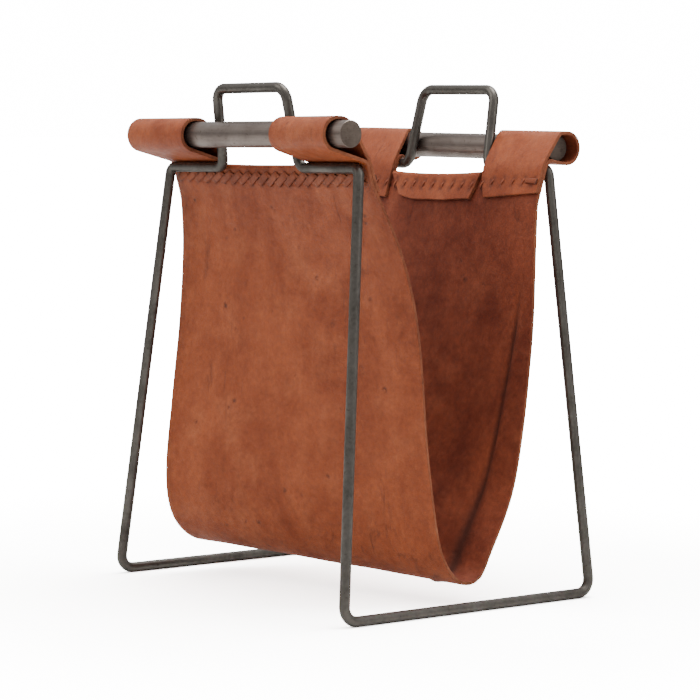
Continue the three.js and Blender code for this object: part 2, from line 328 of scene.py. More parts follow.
class Graph:
    """A short way to write a node tree."""

    def __init__(self, tree: bpy.types.NodeTree) -> None:
        """Keeps the tree that the nodes go in."""
        self.tree = tree

    def node(self, kind: str, **values: object) -> bpy.types.Node:
        """Adds a node.

        Args:
            kind: its type without the ShaderNode prefix.
            values: attributes by name; an input socket's value as in_SOCKET, where _ is a space.

        Returns:
            The new node.
        """
        made = self.tree.nodes.new(kind if kind.startswith("NodeGroup") else f"ShaderNode{kind}")
        for name, value in values.items():
            if name.startswith("in_"):
                socket = made.inputs[name[3:].replace("_", " ")]
                if isinstance(value, bpy.types.NodeSocket):
                    self.tree.links.new(value, socket)
                else:
                    socket.default_value = value
            else:
                setattr(made, name, value)
        return made

    def link(self, source: bpy.types.NodeSocket, target: bpy.types.NodeSocket) -> None:
        """Joins an output to an input."""
        self.tree.links.new(source, target)

    def scaled(
        self, vector: bpy.types.NodeSocket, scale: tuple, turn: tuple = (0, 0, 0)
    ) -> bpy.types.NodeSocket:
        """A vector stretched and turned by a Mapping node.

        Args:
            vector: what to turn.
            scale: the stretch on each axis.
            turn: the angles, in radians.

        Returns:
            The new vector.
        """
        made = self.node("Mapping", in_Vector=vector, in_Scale=scale, in_Rotation=turn)
        return made.outputs[0]

    def noise(
        self, vector: bpy.types.NodeSocket, scale: float, detail: float = 4,
        rough: float = 0.55, warp: float = 0,
    ) -> bpy.types.NodeSocket:
        """A noise value from 0 to 1.

        Args:
            vector: where it is read.
            scale: how many cells to a metre.
            detail: the number of finer layers.
            rough: how strong the finer layers are.
            warp: how far the pattern is bent by itself.

        Returns:
            The noise.
        """
        made = self.node(
            "TexNoise", in_Vector=vector, in_Scale=scale, in_Detail=detail,
            in_Roughness=rough, in_Distortion=warp,
        )
        return made.outputs[0]

    def ramp(
        self, value: bpy.types.NodeSocket, low: float, high: float, out: tuple = (0.0, 1.0)
    ) -> bpy.types.NodeSocket:
        """A value carried from one range into another, clamped.

        Args:
            value: the value to carry over.
            low: the value that becomes the first of out.
            high: the value that becomes the second.
            out: the new range.

        Returns:
            The new value.
        """
        made = self.node(
            "MapRange", in_Value=value, in_From_Min=low, in_From_Max=high,
            in_To_Min=out[0], in_To_Max=out[1],
        )
        return made.outputs[0]

    def math(
        self, operation: str, *values: bpy.types.NodeSocket | float
    ) -> bpy.types.NodeSocket:
        """A Math node's result.

        Args:
            operation: the name of the operation.
            values: its operands.

        Returns:
            The result.
        """
        made = self.node("Math", operation=operation)
        for socket, value in zip(made.inputs, values):
            if isinstance(value, bpy.types.NodeSocket):
                self.link(value, socket)
            else:
                socket.default_value = value
        return made.outputs[0]

    def mix(
        self, factor: bpy.types.NodeSocket | float, first: bpy.types.NodeSocket | tuple,
        second: bpy.types.NodeSocket | tuple, blend: str = "MIX",
    ) -> bpy.types.NodeSocket:
        """Two colours mixed.

        Args:
            factor: the share of the second colour.
            first: one colour.
            second: the other colour.
            blend: how they are blended.

        Returns:
            The mixed colour.
        """
        made = self.node("Mix", data_type="RGBA", blend_type=blend)
        for index, value in ((0, factor), (6, first), (7, second)):
            if isinstance(value, bpy.types.NodeSocket):
                self.link(value, made.inputs[index])
            else:
                made.inputs[index].default_value = value
        return made.outputs[2]

    def camera_sees(
        self, seen: bpy.types.NodeSocket, lit: bpy.types.NodeSocket
    ) -> bpy.types.NodeSocket:
        """A shader with one look for the camera and another for the light that reaches the rack.

        Args:
            seen: the shader that camera rays meet.
            lit: the shader that all other rays meet.

        Returns:
            The joined shader.
        """
        choice = self.node("MixShader")
        self.link(self.node("LightPath").outputs["Is Camera Ray"], choice.inputs[0])
        self.link(lit, choice.inputs[1])
        self.link(seen, choice.inputs[2])
        return choice.outputs[0]


def new_group(
    name: str, inputs: Sequence[tuple], outputs: Sequence[tuple]
) -> tuple[bpy.types.NodeTree, Graph, bpy.types.Node, bpy.types.Node]:
    """Starts a shader node group.

    Args:
        name: the group's name.
        inputs: (name, socket kind, default) for each input.
        outputs: (name, socket kind) for each output.

    Returns:
        The group, its graph, its input node and its output node.
    """
    tree = bpy.data.node_groups.new(name, "ShaderNodeTree")
    for label, kind, default in inputs:
        socket = tree.interface.new_socket(label, in_out="INPUT", socket_type=f"NodeSocket{kind}")
        if default is not None:
            socket.default_value = default
    for label, kind in outputs:
        tree.interface.new_socket(label, in_out="OUTPUT", socket_type=f"NodeSocket{kind}")
    graph = Graph(tree)
    return tree, graph, graph.node("NodeGroupInput"), graph.node("NodeGroupOutput")


def rgba(red: float, green: float, blue: float) -> tuple[float, float, float, float]:
    """A colour socket's value."""
    return (red, green, blue, 1.0)


def grain_group() -> bpy.types.NodeTree:
    """Leather grain: a fine cell pattern over soft undulation, as one height.

    Returns:
        The group.
    """
    tree, g, source, target = new_group(
        "leather_grain",
        [("Vector", "Vector", None), ("Cell Scale", "Float", 900.0), ("Cell Depth", "Float", 0.5)],
        [("Height", "Float")],
    )
    vector = source.outputs["Vector"]
    warped = g.node("VectorMath", operation="ADD")
    wobble = g.node("TexNoise", in_Vector=vector, in_Scale=260.0, in_Detail=2.0)
    shrink = g.node("VectorMath", operation="SCALE", in_Scale=0.0016)
    g.link(wobble.outputs["Color"], shrink.inputs[0])
    g.link(vector, warped.inputs[0])
    g.link(shrink.outputs[0], warped.inputs[1])
    cells = g.node("TexVoronoi", feature="DISTANCE_TO_EDGE", in_Vector=warped.outputs[0])
    g.link(source.outputs["Cell Scale"], cells.inputs["Scale"])
    creases = g.ramp(cells.outputs[0], 0.0, 0.16)
    fibres = g.noise(vector, 700.0, 3)
    soft = g.noise(vector, 55.0, 5, 0.6)
    height = g.math("MULTIPLY", creases, source.outputs["Cell Depth"])
    height = g.math("ADD", height, g.math("MULTIPLY", fibres, 0.4))
    height = g.math("ADD", height, g.math("MULTIPLY", soft, 5.0))
    g.link(height, target.inputs["Height"])
    return tree


def marks_group() -> bpy.types.NodeTree:
    """The history of a hide: soft mottling, dark pits, dark veins and pale scratches, as masks.

    Returns:
        The group.
    """
    tree, g, source, target = new_group(
        "hide_marks",
        [("Vector", "Vector", None), ("Amount", "Float", 1.0)],
        [("Mottle", "Float"), ("Pits", "Float"), ("Veins", "Float"), ("Scratches", "Float")],
    )
    vector, amount = source.outputs["Vector"], source.outputs["Amount"]
    tall = g.scaled(vector, (17.0, 17.0, 10.0), (0.1, 0.15, 0.0))
    broad = g.noise(tall, 1.0, 5, 0.62, 0.8)
    blotch = g.noise(vector, 46.0, 7, 0.72, 0.4)
    mottle = g.math("ADD", g.math("MULTIPLY", broad, 0.58), g.math("MULTIPLY", blotch, 0.42))
    g.link(g.ramp(mottle, 0.38, 0.62), target.inputs["Mottle"])

    cells = g.node("TexVoronoi", in_Vector=vector, in_Scale=70.0, in_Randomness=1.0)
    dots = g.ramp(cells.outputs["Distance"], 0.22, 0.06)
    ragged = g.ramp(g.noise(vector, 300.0, 3), 0.40, 0.56)
    scarce = g.ramp(g.noise(vector, 26.0, 2), 0.50, 0.60)
    pits = g.math("MULTIPLY", g.math("MULTIPLY", dots, ragged), scarce)
    g.link(g.math("MULTIPLY", pits, amount), target.inputs["Pits"])

    tall = g.scaled(vector, (60.0, 60.0, 11.0), (0.12, 0.2, 0.0))
    streaks = g.ramp(g.noise(tall, 1.0, 7, 0.72, 1.6), 0.56, 0.66)
    here = g.ramp(g.noise(vector, 11.0, 2), 0.44, 0.58)
    g.link(g.math("MULTIPLY", g.math("MULTIPLY", streaks, here), amount), target.inputs["Veins"])

    lines = None
    for turn, seat in (((0.5, 0.3, 0.9), 5.0), ((1.2, 0.9, 0.2), 9.0)):
        long = g.scaled(vector, (260.0, 12.0, 260.0), turn)
        thin = g.ramp(g.noise(long, 1.0, 3, 0.5), 0.63, 0.68)
        where = g.ramp(g.noise(vector, seat, 2), 0.50, 0.60)
        one = g.math("MULTIPLY", thin, where)
        lines = one if lines is None else g.math("MAXIMUM", lines, one)
    g.link(g.math("MULTIPLY", lines, amount), target.inputs["Scratches"])
    return tree


def metal_group() -> bpy.types.NodeTree:
    """Handled metal: cloudy tone, fine streaks along one axis, and specks of scale, as masks.

    Returns:
        The group.
    """
    tree, g, source, target = new_group(
        "worn_metal",
        [("Vector", "Vector", None), ("Streak Scale", "Vector", (30.0, 900.0, 900.0))],
        [("Cloud", "Float"), ("Streaks", "Float"), ("Specks", "Float"), ("Height", "Float")],
    )
    vector = source.outputs["Vector"]
    cloud = g.noise(vector, 38.0, 6, 0.6, 0.4)
    g.link(g.ramp(cloud, 0.36, 0.64), target.inputs["Cloud"])
    product = g.node("VectorMath", operation="MULTIPLY")
    g.link(vector, product.inputs[0])
    g.link(source.outputs["Streak Scale"], product.inputs[1])
    streaks = g.noise(product.outputs[0], 1.0, 4, 0.6)
    g.link(g.ramp(streaks, 0.3, 0.7), target.inputs["Streaks"])
    specks = g.ramp(g.noise(vector, 300.0, 4, 0.7), 0.60, 0.70)
    g.link(specks, target.inputs["Specks"])
    fine = g.math("MULTIPLY", g.noise(vector, 520.0, 4, 0.65), 0.7)
    height = g.math("ADD", fine, g.math("MULTIPLY", streaks, 0.3))
    g.link(height, target.inputs["Height"])
    return tree


class Groups:
    """The shader node groups that the finishes share, each made once."""

    def __init__(self) -> None:
        """Makes the groups."""
        self.grain = grain_group()
        self.marks = marks_group()
        self.metal = metal_group()


# ------------------------------------------------------------------------- finishes


@dataclass(frozen=True)
class LeatherFinish:
    """A leather surface."""

    name: str
    base: tuple[float, float, float]
    pale: tuple[float, float, float]
    deep: tuple[float, float, float]
    roughness: tuple[float, float]
    cell_scale: float
    cell_depth: float
    marks: float
    bump: float

    def material(self, groups: Groups) -> bpy.types.Material:
        """Builds the material of this finish.

        Args:
            groups: the shared node groups.

        Returns:
            The new material.
        """
        material = bpy.data.materials.new(self.name)
        material.use_nodes = True
        g = Graph(material.node_tree)
        shader = material.node_tree.nodes["Principled BSDF"]
        place = g.node("TexCoord").outputs["Object"]
        grain = g.node(
            "Group", node_tree=groups.grain, in_Vector=place,
            in_Cell_Scale=self.cell_scale, in_Cell_Depth=self.cell_depth,
        )
        marks = g.node("Group", node_tree=groups.marks, in_Vector=place, in_Amount=self.marks)
        # Painted shade: the hide darkens round the lace's holes, and the thong at its ends and
        # along its edges.
        lace_shade = g.node("Attribute", attribute_name="lace_shade").outputs["Fac"]
        tone = g.mix(marks.outputs["Mottle"], rgba(*self.deep), rgba(*self.base))
        # Painted shade along the far wall's crease, over its dented groove.
        crease = g.node("Attribute", attribute_name="crease").outputs["Fac"]
        lit = g.ramp(g.noise(place, 27.0, 5, 0.6), 0.52, 0.74, (0.0, 0.4))
        tone = g.mix(lit, tone, rgba(*self.pale))
        speckle = g.ramp(g.noise(place, 260.0, 5, 0.75), 0.3, 0.7, (0.80, 1.16))
        tone = g.mix(1.0, tone, g.node("CombineColor", in_Red=speckle, in_Green=speckle,
                                       in_Blue=speckle).outputs[0], "MULTIPLY")
        dark = rgba(*(value * 0.22 for value in self.deep))
        for mask, share, colour in (
            (marks.outputs["Veins"], 0.42, dark),
            (marks.outputs["Pits"], 0.8, dark),
            (marks.outputs["Scratches"], 0.3, rgba(*self.pale)),
            # painted shade round the lace's holes and along the far wall's crease
            (g.math("MAXIMUM", lace_shade, crease), 0.8, dark),
        ):
            tone = g.mix(g.math("MULTIPLY", mask, share), tone, colour)
        g.link(tone, shader.inputs["Base Color"])
        gloss = g.ramp(marks.outputs["Mottle"], 0.0, 1.0, self.roughness)
        gloss = g.math("ADD", gloss, g.math("MULTIPLY", marks.outputs["Scratches"], 0.12))
        g.link(gloss, shader.inputs["Roughness"])
        height = g.math("SUBTRACT", grain.outputs["Height"],
                        g.math("MULTIPLY", marks.outputs["Pits"], 1.6))
        height = g.math("SUBTRACT", height, g.math("MULTIPLY", marks.outputs["Veins"], 0.5))
        bump = g.node("Bump", in_Strength=self.bump, in_Distance=0.35 * MM, in_Height=height)
        g.link(bump.outputs[0], shader.inputs["Normal"])
        shader.inputs["Specular IOR Level"].default_value = 0.3
        return material


@dataclass(frozen=True)
class MetalFinish:
    """A bare metal surface."""

    name: str
    dark: tuple[float, float, float]
    light: tuple[float, float, float]
    speck: tuple[float, float, float]
    metallic: float
    roughness: tuple[float, float]
    streak_scale: tuple[float, float, float]
    bump: float

    def material(self, groups: Groups) -> bpy.types.Material:
        """Builds the material of this finish.

        Args:
            groups: the shared node groups.

        Returns:
            The new material.
        """
        material = bpy.data.materials.new(self.name)
        material.use_nodes = True
        g = Graph(material.node_tree)
        shader = material.node_tree.nodes["Principled BSDF"]
        place = g.node("TexCoord").outputs["Object"]
        worn = g.node(
            "Group", node_tree=groups.metal, in_Vector=place, in_Streak_Scale=self.streak_scale,
        )
        tone = g.mix(worn.outputs["Cloud"], rgba(*self.dark), rgba(*self.light))
        streak = g.math("MULTIPLY", worn.outputs["Streaks"], 0.35)
        tone = g.mix(streak, tone, rgba(*(value * 1.35 for value in self.light)))
        tone = g.mix(g.math("MULTIPLY", worn.outputs["Specks"], 0.6), tone, rgba(*self.speck))
        g.link(tone, shader.inputs["Base Color"])
        gloss = g.ramp(worn.outputs["Cloud"], 0.0, 1.0, self.roughness)
        gloss = g.math("ADD", gloss, g.math("MULTIPLY", worn.outputs["Specks"], 0.15))
        g.link(gloss, shader.inputs["Roughness"])
        bump = g.node(
            "Bump", in_Strength=self.bump, in_Distance=0.1 * MM, in_Height=worn.outputs["Height"],
        )
        g.link(bump.outputs[0], shader.inputs["Normal"])
        shader.inputs["Metallic"].default_value = self.metallic
        return material


class Finish(Enum):
    """The finishes of the rack."""

    GRAIN_SIDE = LeatherFinish(
        name="saddle_leather_grain_side",
        base=(0.355, 0.080, 0.022),
        pale=(0.46, 0.135, 0.052),
        deep=(0.215, 0.040, 0.009),
        roughness=(0.58, 0.40),
        cell_scale=900.0,
        cell_depth=0.5,
        marks=1.0,
        bump=0.6,
    )
    # The flesh side, inside the sling: rougher and finer-grained than the grain side, and its
    # colours are darker as painted shade for the inside of the pocket.
    FLESH_SIDE = LeatherFinish(
        name="saddle_leather_flesh_side_shaded",
        base=(0.255, 0.055, 0.020),
        pale=(0.35, 0.095, 0.040),
        deep=(0.135, 0.022, 0.007),
        roughness=(0.74, 0.60),
        cell_scale=1300.0,
        cell_depth=0.2,
        marks=0.8,
        bump=0.8,
    )
    CUT_EDGE = LeatherFinish(
        name="saddle_leather_cut_edge",
        base=(0.27, 0.078, 0.030),
        pale=(0.42, 0.165, 0.08),
        deep=(0.13, 0.032, 0.012),
        roughness=(0.85, 0.70),
        cell_scale=1500.0,
        cell_depth=0.2,
        marks=0.6,
        bump=0.8,
    )
    LACE = LeatherFinish(
        name="lace_leather",
        base=(0.30, 0.072, 0.024),
        pale=(0.42, 0.13, 0.055),
        deep=(0.18, 0.036, 0.010),
        roughness=(0.56, 0.42),
        cell_scale=1500.0,
        cell_depth=0.35,
        marks=0.6,
        bump=0.5,
    )
    ROD_IRON = MetalFinish(
        name="waxed_iron",
        dark=(0.062, 0.055, 0.047),
        light=(0.118, 0.107, 0.094),
        speck=(0.045, 0.034, 0.025),
        metallic=0.85,
        roughness=(0.44, 0.30),
        streak_scale=(420.0, 420.0, 420.0),
        bump=0.35,
    )
    WELD_IRON = MetalFinish(
        name="filed_weld",
        dark=(0.070, 0.062, 0.053),
        light=(0.128, 0.116, 0.102),
        speck=(0.05, 0.038, 0.028),
        metallic=0.85,
        roughness=(0.48, 0.34),
        streak_scale=(700.0, 160.0, 700.0),
        bump=0.5,
    )
    BAR_STEEL = MetalFinish(
        name="drawn_steel",
        dark=(0.125, 0.096, 0.081),
        light=(0.215, 0.175, 0.152),
        speck=(0.08, 0.052, 0.037),
        metallic=0.9,
        roughness=(0.42, 0.30),
        streak_scale=(26.0, 900.0, 900.0),
        bump=0.3,
    )
    BAR_END = MetalFinish(
        name="sawn_steel",
        dark=(0.050, 0.034, 0.024),
        light=(0.120, 0.090, 0.070),
        speck=(0.04, 0.022, 0.014),
        metallic=0.5,
        roughness=(0.62, 0.50),
        streak_scale=(900.0, 120.0, 1300.0),
        bump=0.6,
    )


# ------------------------------------------------------------------------- frame


@dataclass
class Corner:
    """A corner of a rod's centre line and the radius that it is bent to."""

    at: Vector
    bend: float = 0.0


@dataclass
class SideRod:
    """One side of the frame: a single rod bent into rail, leg, shoulder and handle."""

    side: Side
    ring_points: int = 32
    bend_steps: int = 12
    rail_gap: float = 1.0 * MM

    def corners(self) -> list[Corner]:
        """The corners from the middle of the left rail round to the middle of the right one.

        Returns:
            Ten corners, from left to right.
        """
        low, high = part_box(f"{self.side.name}_side_rod")
        foot_x = high[0] - ROD.radius
        foot_y = max(abs(low[1]), abs(high[1])) - ROD.radius
        rail_height = ROD.radius - ROD.filed
        sign = self.side.sign

        def top(x: float, out: float, height: float) -> Vector:
            """A corner that stands at this side's own height."""
            return Vector((x, sign * out, height + self.side.lift_at(x)))

        def half(end: int) -> list[Corner]:
            """The corners of one end, -1 for the left, from the rail up to the handle."""
            lean = ROD.shoulder_out + ROD.handle_lean
            handle_top = ROD.shoulder_height + ROD.handle_height
            return [
                Corner(Vector((end * foot_x, sign * self.rail_gap, rail_height))),
                Corner(Vector((end * foot_x, sign * foot_y, rail_height)), ROD.foot_bend),
                Corner(
                    top(end * ROD.shoulder_half_length, ROD.shoulder_out, ROD.shoulder_height),
                    ROD.shoulder_bend,
                ),
                Corner(
                    top(end * ROD.handle_foot_half, ROD.shoulder_out, ROD.shoulder_height),
                    ROD.handle_foot_bend,
                ),
                Corner(top(end * ROD.handle_top_half, lean, handle_top), ROD.handle_top_bend),
            ]

        return half(-1) + half(1)[::-1]

    def build(self, iron: bpy.types.Material) -> bpy.types.Object:
        """Sweeps a ring along the corners with extrude and spin, and files its underside flat.

        Args:
            iron: the rod's material.

        Returns:
            The rod.
        """
        corners = self.corners()
        heading = (corners[1].at - corners[0].at).normalized()
        turn = heading.to_track_quat("Z", "Y").to_euler()
        deselect()
        bpy.ops.mesh.primitive_circle_add(
            vertices=self.ring_points, radius=ROD.radius, location=corners[0].at, rotation=turn,
        )
        rod = bpy.context.object
        rod.name = rod.data.name = f"{self.side.name}_side_rod_iron"
        apply_place(rod)
        edit_all()
        bpy.ops.mesh.edge_face_add()
        tip = corners[0].at.copy()
        for before, corner, after in zip(corners, corners[1:], corners[2:]):
            arriving = (corner.at - before.at).normalized()
            leaving = (after.at - corner.at).normalized()
            angle = arriving.angle(leaving)
            axis = arriving.cross(leaving).normalized()
            start = corner.at - arriving * corner.bend * math.tan(angle / 2)
            centre = start + axis.cross(arriving) * corner.bend
            self.extrude(start - tip)
            bpy.ops.mesh.spin(
                steps=self.bend_steps, angle=-angle, center=centre, axis=axis,
            )
            tip = corner.at + leaving * corner.bend * math.tan(angle / 2)
        self.extrude(corners[-1].at - tip)
        bpy.ops.mesh.select_all(action="SELECT")
        bpy.ops.mesh.remove_doubles(threshold=0.01 * MM)
        bpy.ops.mesh.select_all(action="SELECT")
        bpy.ops.mesh.bisect(
            plane_co=(0, 0, 0), plane_no=(0, 0, 1), use_fill=True, clear_inner=True,
            threshold=0.001 * MM,
        )
        bpy.ops.mesh.select_all(action="SELECT")
        bpy.ops.mesh.normals_make_consistent(inside=False)
        bpy.ops.object.mode_set(mode="OBJECT")
        shade_smooth(rod, 50)
        dress(rod, "iron_rod", iron)
        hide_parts(f"{self.side.name}_side_rod")
        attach(rod, "frame")
        return rod

    @staticmethod
    def extrude(reach: Vector) -> None:
        """Extrudes what is selected by a vector."""
        bpy.ops.mesh.extrude_region_move(TRANSFORM_OT_translate={"value": reach})


@dataclass
class RailWeld:
    """The bead that joins the two rods in the middle of a floor rail."""

    end: int
    proud: float = 0.06 * MM
    ripple: float = 0.04 * MM
    ripple_scale: float = 900
    ring_points: int = 48

    def build(self, iron: bpy.types.Material) -> bpy.types.Object:
        """Turns a short crowned bead and files its underside flat.

        Args:
            iron: the bead's material.

        Returns:
            The bead.
        """
        name = "left_rail_weld" if self.end < 0 else "right_rail_weld"
        centre = centre_of(name)
        deselect()
        bpy.ops.mesh.primitive_cylinder_add(
            vertices=self.ring_points, radius=ROD.radius, depth=2 * ROD.weld_half,
            location=(centre.x, 0, ROD.radius - ROD.filed), rotation=(math.pi / 2, 0, 0),
        )
        weld = bpy.context.object
        weld.name = weld.data.name = f"{name}_bead"
        apply_place(weld)
        edit_all()
        bpy.ops.mesh.subdivide(number_cuts=3)
        bpy.ops.object.mode_set(mode="OBJECT")
        for vertex in weld.data.vertices:
            spoke = Vector((vertex.co.x - centre.x, 0, vertex.co.z - ROD.radius))
            crown = 1 - (vertex.co.y / ROD.weld_half) ** 2
            ripple = self.ripple * noise.noise(vertex.co * self.ripple_scale)
            vertex.co += spoke.normalized() * (self.proud * crown + ripple * crown)
        edit_all()
        bpy.ops.mesh.bisect(
            plane_co=(0, 0, 0), plane_no=(0, 0, 1), use_fill=True, clear_inner=True,
        )
        bpy.ops.object.mode_set(mode="OBJECT")
        shade_smooth(weld, 50)
        dress(weld, "weld_bead", iron)
        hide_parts(name)
        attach(weld, "frame")
        return weld


# ------------------------------------------------------------------------- carrying bars


@dataclass
class CarryingBar:
    """A loose round steel bar with sawn, lightly chamfered ends."""

    side: Side
    radius: float = 10 * MM
    chamfer: float = 0.8 * MM
    dish: float = 0.25 * MM
    saw_marks: float = 0.12 * MM
    saw_scale: float = 260
    rings: tuple[float, float, float] = (0.3, 0.3, 0.2)
    ring_points: int = 96

    @property
    def node(self) -> str:
        """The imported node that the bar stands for."""
        return f"{self.side.name}_bar"

    def axis(self) -> Vector:
        """The bar's direction, which is its slide's axis."""
        joints = frame["record"]["behaviour"]["joints"]
        return Vector(next(j["axis"] for j in joints if j["child"] == self.node)).normalized()

    def build(self, steel: bpy.types.Material, sawn: bpy.types.Material) -> bpy.types.Object:
        """Makes the bar, bevels its rims and dishes its sawn ends a little.

        Args:
            steel: the material of its round.
            sawn: the material of its ends.

        Returns:
            The bar.
        """
        axis = self.axis()
        low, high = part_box(self.node)
        length = (high[0] - low[0] - 2 * self.radius * abs(axis.z)) / axis.x
        deselect()
        bpy.ops.mesh.primitive_cylinder_add(
            vertices=self.ring_points, radius=self.radius, depth=length,
            location=centre_of(self.node), rotation=axis.to_track_quat("Z", "Y").to_euler(),
        )
        bar = bpy.context.object
        bar.name = bar.data.name = f"{self.side.name}_carrying_bar"
        centre = Vector(bar.location)
        apply_place(bar)
        mesh = bar.data
        bpy.ops.object.mode_set(mode="EDIT")
        bpy.ops.mesh.select_mode(type="FACE")
        bpy.ops.mesh.select_all(action="DESELECT")
        bpy.ops.object.mode_set(mode="OBJECT")
        for face in mesh.polygons:
            face.select = abs(face.normal.dot(axis)) > 0.9
        bpy.ops.object.mode_set(mode="EDIT")
        bpy.ops.mesh.bevel(offset=self.chamfer, segments=3, profile=0.6, affect="EDGES")
        bpy.ops.object.mode_set(mode="OBJECT")
        for face in mesh.polygons:
            face.select = abs(face.normal.dot(axis)) > 0.999 and len(face.vertices) > 8
        bpy.ops.object.mode_set(mode="EDIT")
        for share in self.rings:
            bpy.ops.mesh.inset(thickness=self.radius * share)
        bpy.ops.object.mode_set(mode="OBJECT")
        half = length / 2
        for vertex in mesh.vertices:
            along = (vertex.co - centre).dot(axis)
            if abs(along) > half - 0.05 * MM:
                out = (vertex.co - centre - axis * along).length / self.radius
                rough = self.saw_marks * noise.noise(vertex.co * self.saw_scale)
                dish = self.dish * (1 - out * out) + rough
                vertex.co -= axis * math.copysign(max(dish, 0), along)
        shade_smooth(bar, 30)
        dress(bar, "steel_bar", steel, sawn)
        for face in mesh.polygons:
            face.material_index = int(abs(face.normal.dot(axis)) > 0.9)
        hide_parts(self.node)
        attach(bar, self.node)
        return bar


# ------------------------------------------------------------------------- the sling's shape


def spline(points: np.ndarray, samples: int) -> np.ndarray:
    """Points along a uniform Catmull-Rom curve through the given ones.

    Args:
        points: what the curve goes through.
        samples: how many points to make.

    Returns:
        The points of the curve.
    """
    count = len(points) - 1
    at = np.linspace(0, count, samples)
    start = np.minimum(at.astype(int), count - 1)
    t = (at - start)[:, None]
    a, b = points[np.maximum(start - 1, 0)], points[start]
    c, d = points[start + 1], points[np.minimum(start + 2, count)]
    v0, v1 = (c - a) / 2, (d - b) / 2
    return (
        (2 * b - 2 * c + v0 + v1) * t**3 + (-3 * b + 3 * c - 2 * v0 - v1) * t**2 + v0 * t + b
    )


def lengths(line: np.ndarray) -> np.ndarray:
    """The distance along a line to each of its points."""
    steps = np.linalg.norm(np.diff(line, axis=0), axis=1)
    return np.concatenate([[0], np.cumsum(steps)])


def resample(line: np.ndarray, at: np.ndarray) -> np.ndarray:
    """The points of a line at the given distances along it."""
    along = lengths(line)
    return np.stack([np.interp(at, along, line[:, k]) for k in range(line.shape[1])], axis=1)


def rounded(line: np.ndarray, times: int = 2) -> np.ndarray:
    """A line with its corners cut, its ends kept.

    Args:
        line: the line.
        times: how often its corners are cut.

    Returns:
        The rounded line.
    """
    for _ in range(times):
        inner = np.empty((2 * len(line) - 2, line.shape[1]))
        inner[0::2] = 0.75 * line[:-1] + 0.25 * line[1:]
        inner[1::2] = 0.25 * line[:-1] + 0.75 * line[1:]
        line = np.concatenate([line[:1], inner, line[-1:]])
    return line


def arc(
    centre: np.ndarray, radius: float, start: float, stop: float, steps: int = 24
) -> np.ndarray:
    """Points round part of a circle.

    Args:
        centre: the middle of the circle.
        radius: its radius.
        start: the first angle.
        stop: the last angle.
        steps: the number of steps between them.

    Returns:
        The points, both ends among them.
    """
    angles = np.linspace(start, stop, steps + 1)
    return centre + radius * np.stack([np.cos(angles), np.sin(angles)], axis=1)


SECTION_POINTS = 900
SMOOTHING = 11
SWAY = 1.5 * MM
SWAY_STEP = 9
END_CALM = 60 * MM
BAND_DOWN = np.array([-math.sin(HIDE.band_tilt), -math.cos(HIDE.band_tilt)])
BAND_IN = np.array([-math.cos(HIDE.band_tilt), math.sin(HIDE.band_tilt)])
SHOULDER = np.array([ROD.shoulder_out, ROD.shoulder_height])


def band_point(down: float, deep: float = 0.0) -> np.ndarray:
    """A point of the laced band in section, as [out, height]."""
    return SHOULDER + BAND_IN * (HIDE.rod_wrap + deep) + BAND_DOWN * down


@dataclass(frozen=True)
class Section:
    """The hanging panel at one place along the bars."""

    line: np.ndarray
    along: np.ndarray
    inwards: np.ndarray

    @property
    def length(self) -> float:
        """Its length from fold to fold."""
        return float(self.along[-1])

    def at(self, distance: np.ndarray, deep: float | np.ndarray = 0.0) -> np.ndarray:
        """World points at distances down from the near fold, that deep inside the middle.

        Args:
            distance: distances along the line from the near fold.
            deep: how far inside the middle of the hide.

        Returns:
            One point for each distance.
        """
        place, normal = (
            np.stack([np.interp(distance, self.along, values[:, k]) for k in range(3)], axis=1)
            for values in (self.line, self.inwards)
        )
        return place + normal * np.asarray(deep).reshape(-1, 1)

    def from_side(
        self, side: Side, down: Sequence | np.ndarray, deep: float | np.ndarray = 0.0
    ) -> np.ndarray:
        """World points at distances down from one side's fold.

        Args:
            side: the side whose fold it starts at.
            down: distances down from that fold.
            deep: how far inside the middle of the hide.

        Returns:
            One point for each distance.
        """
        down = np.asarray(down, float)
        return self.at(down if side is NEAR else self.length - down, deep)


def smoothed(line: np.ndarray, reach: int) -> np.ndarray:
    """A line averaged over a window of points, its ends kept.

    Args:
        line: the line.
        reach: how many points the window takes in on each side.

    Returns:
        The smoothed line.
    """
    head = 2 * line[0] - line[reach:0:-1]
    tail = 2 * line[-1] - line[-2 : -reach - 2 : -1]
    padded = np.concatenate([head, line, tail])
    weights = np.hanning(2 * reach + 3)[1:-1]
    weights /= weights.sum()
    return np.stack(
        [np.convolve(padded[:, k], weights, mode="valid") for k in range(line.shape[1])], axis=1
    )


